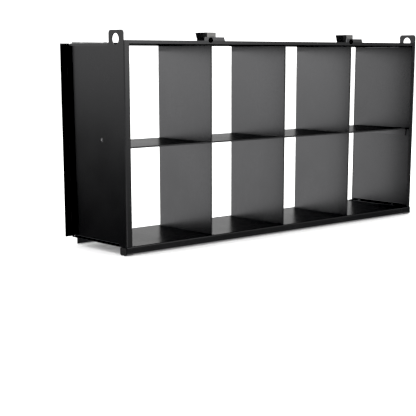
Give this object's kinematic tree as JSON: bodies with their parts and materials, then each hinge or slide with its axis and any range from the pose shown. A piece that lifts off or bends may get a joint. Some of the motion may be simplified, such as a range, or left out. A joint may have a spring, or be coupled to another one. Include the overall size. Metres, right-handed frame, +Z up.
{
  "type": "egg-crate louvre",
  "caption": "Black folded-sheet egg-crate louvre box with a front rim, crossed dividers, pierced lifting ears and lift-up latch levers behind the top flange.",
  "frame": {"origin": "middle of the underside of the bounding box, on the surface that the feet and the rear flange stand on", "axes": "+X along the width to the right seen from the front, +Y from the front rim to the rear flange, +Z up"},
  "size_m": [0.7074, 0.1492, 0.3364],
  "materials": {
    "coated_box": "satin black coating on folded aluminium sheet",
    "coated_grid": "satin black coating on thin aluminium sheet",
    "coated_rivets": "black coated blind rivets",
    "foot_rubber": "matt black rubber",
    "black_screws": "black oxide steel",
    "spacer_plastic": "black nylon",
    "bright_steel": "zinc plated steel",
    "lever_steel": "plain steel plate with light brushing",
    "grip_plastic": "moulded black plastic"
  },
  "bodies": {
    "louvre_box": {"top_panel": "coated_box", "bottom_panel": "coated_box", "left_side_panel": "coated_box", "right_side_panel": "coated_box", "left_upright_divider": "coated_grid", "middle_upright_divider": "coated_grid", "right_upright_divider": "coated_grid", "level_divider": "coated_grid", "top_edge_rivets": "coated_rivets", "bottom_edge_rivets": "coated_rivets", "divider_top_rivets": "coated_rivets", "divider_bottom_rivets": "coated_rivets", "level_divider_rivets": "coated_rivets", "left_end_foot": "foot_rubber", "right_end_foot": "foot_rubber", "latch_brackets": "coated_box", "latch_bracket_screws": "black_screws", "latch_bracket_nuts": "bright_steel", "latch_pivot_screws": "black_screws", "latch_spacers": "spacer_plastic", "latch_washers": "bright_steel", "latch_nuts": "bright_steel"},
    "left_latch": {"left_latch_lever": "lever_steel", "left_latch_grip": "grip_plastic"},
    "right_latch": {"right_latch_lever": "lever_steel", "right_latch_grip": "grip_plastic"}
  },
  "joints": [
    {"name": "left_latch_lift", "type": "hinge", "parent": "louvre_box", "child": "left_latch", "pos_m": [-0.147, -0.04685, 0.3225], "axis": [0, 1, 0], "range_deg": [0, 60]},
    {"name": "right_latch_lift", "type": "hinge", "parent": "louvre_box", "child": "right_latch", "pos_m": [0.1834, -0.04685, 0.3225], "axis": [0, 1, 0], "range_deg": [0, 60]}
  ]
}
